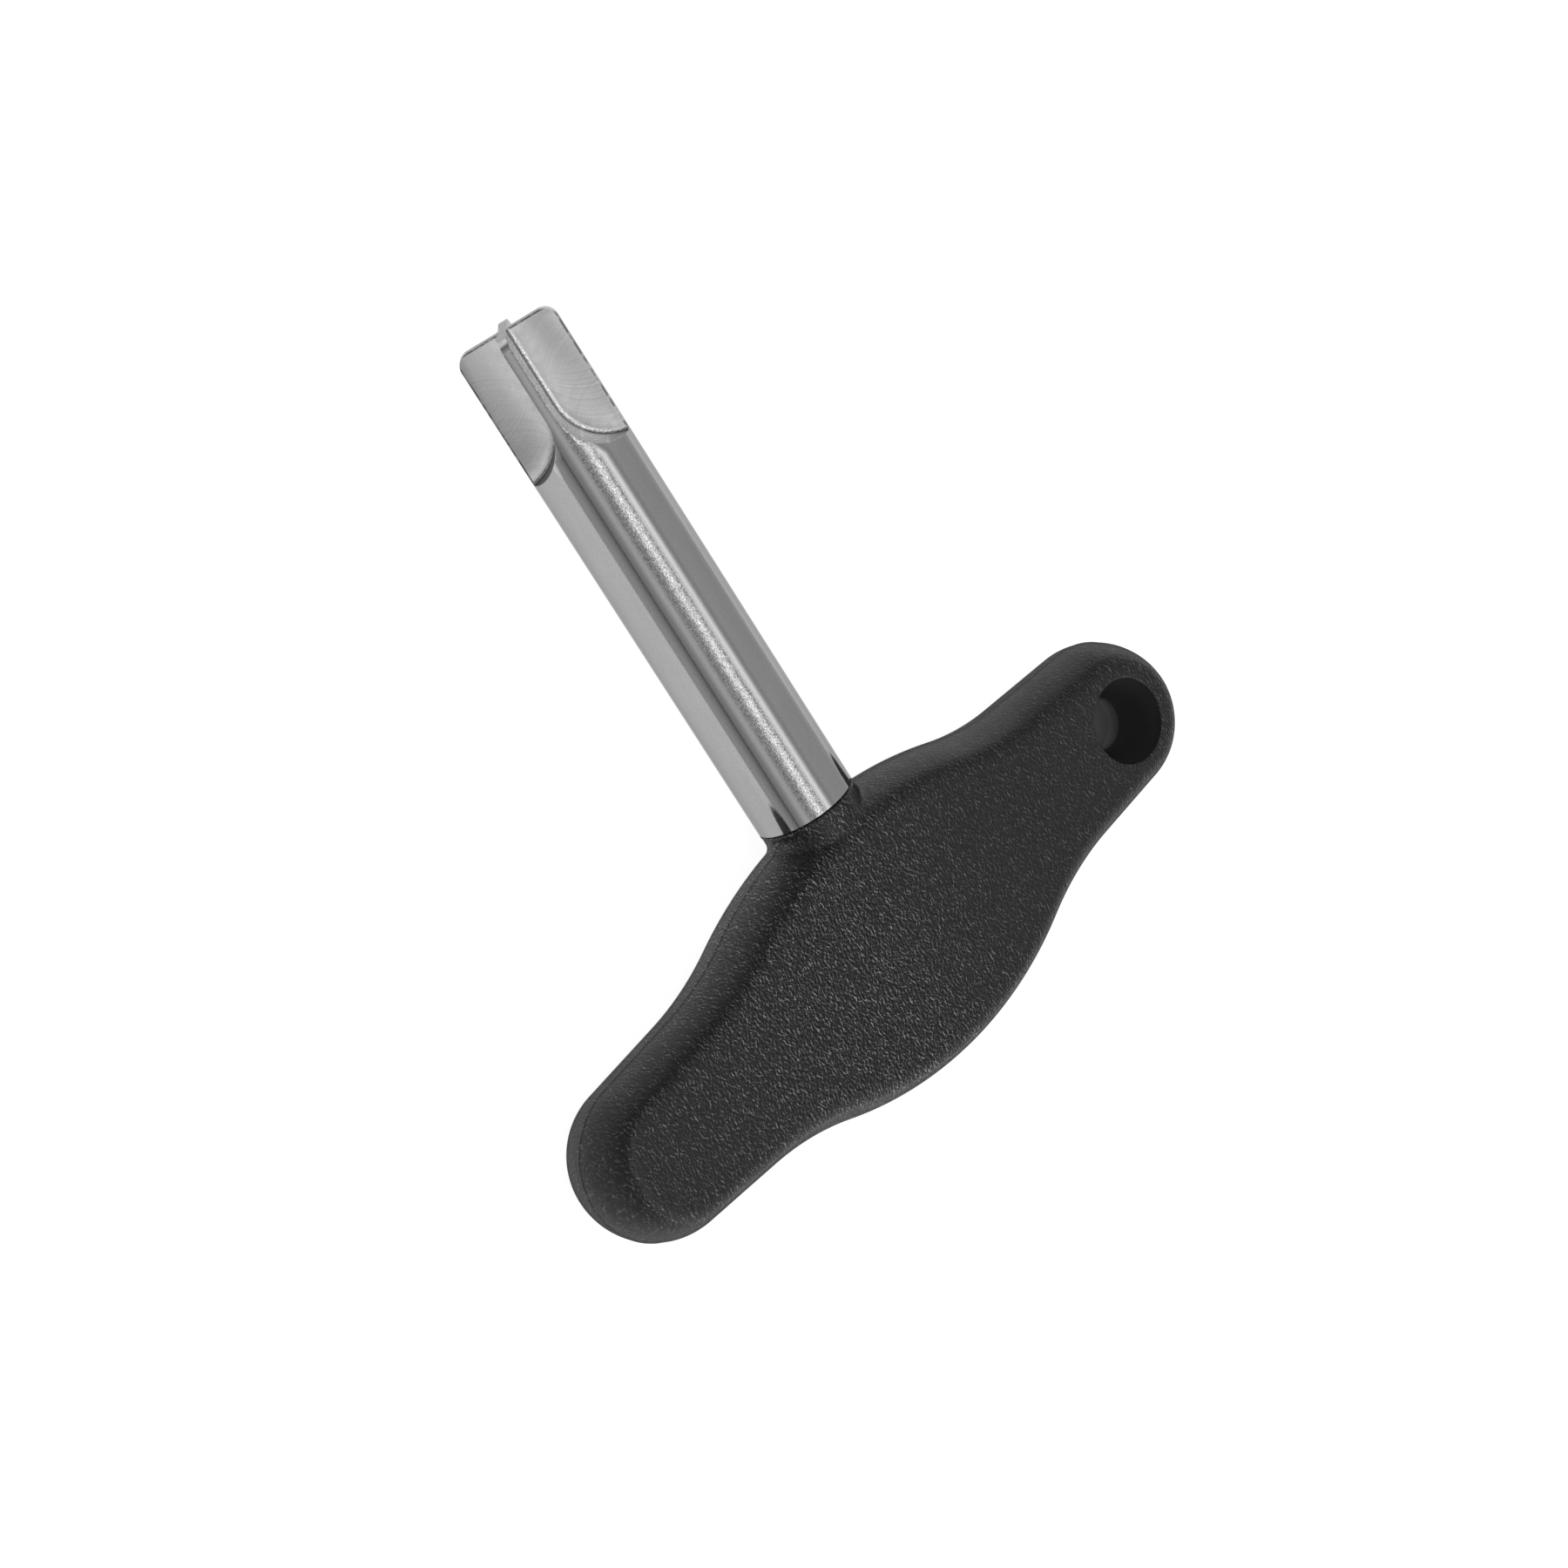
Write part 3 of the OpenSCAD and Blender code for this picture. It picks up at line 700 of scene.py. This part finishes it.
# ------------------------------------------------------------------ studio: a tent of soft panels and strip lights
# Panels run along the shaft; each pair is the angle from +X over the top, in degrees, and brightness.
BANDS = [(-6, 0.50), (2, 0.62), (14, 0.50), (30, 0.50), (60, 0.52), (66, 0.42), (71, 0.50), (76, 1.1), (80, 1.6), (84, 1.25),
         (88, 0.5), (91, 0.33), (95.5, 0.62), (99, 2.0), (101, 3.6), (103, 2.0), (106, 0.9), (110, 0.62), (114, 0.48),
         (121, 0.37), (127, 0.43), (133, 0.72), (137, 0.70), (142, 0.52), (147, 0.38), (152, 0.36), (155.5, 0.14),
         (160, 0.32), (166, 0.42), (172, 0.50), (184, 0.50)]
world = bpy.data.worlds.new("studio")
scene.world = world
world.use_nodes = True
n = Net(world.node_tree)
d = n.node("ShaderNodeSeparateXYZ", {"Vector": n.node("ShaderNodeTexCoord").outputs["Generated"]}).outputs
ang = n.m("DEGREES", n.m("ARCTAN2", d[2], d[0]))
ramp = n.node("ShaderNodeValToRGB", {"Fac": n.m("DIVIDE", n.m("ADD", ang, 10.0), 200.0)})
cr = ramp.color_ramp
cr.interpolation = "LINEAR"
while len(cr.elements) < len(BANDS):
    cr.elements.new(0.5)
for e, (a, v) in zip(cr.elements, BANDS):
    e.position = (a + 10) / 200
for e, (a, v) in zip(cr.elements, BANDS):
    e.color = (v / 4, v / 4, v / 4, 1)
# along the shaft: darker past the tip, brighter behind the handle
lift = n.m("ADD", 1.0, n.m("MULTIPLY", n.span(d[1], -0.55, -0.85), 0.8))
lift = n.m("MULTIPLY", lift, n.span(d[1], 0.35, 0.65, 1.0, 0.6))
lift = n.m("MULTIPLY", lift, n.span(d[1], 0.78, 0.92, 1.0, 0.3))
bg = n.node("ShaderNodeBackground", {"Color": ramp.outputs[0], "Strength": n.m("MULTIPLY", lift, 4.7)})
out = n.node("ShaderNodeOutputWorld")
n.t.links.new(bg.outputs[0], out.inputs[0])


# ------------------------------------------------------------------ camera
cam_data = bpy.data.cameras.new("camera")
cam = link(bpy.data.objects.new("camera", cam_data))
cam_data.sensor_width = 36.0
cam_data.lens = 91.031
M = Matrix(((0.638991, 0.596803, -0.4853, 0), (-0.511288, 0.800893, 0.311697, 0), (0.574695, 0.048957, 0.816902, 0), (0, 0, 0, 1)))
M.translation = Vector((-0.211951, 0.156469, 0.361922))
cam.matrix_world = M
cam_data.clip_start, cam_data.clip_end = 0.01, 20
scene.camera = cam
scene.view_settings.view_transform = "Standard"
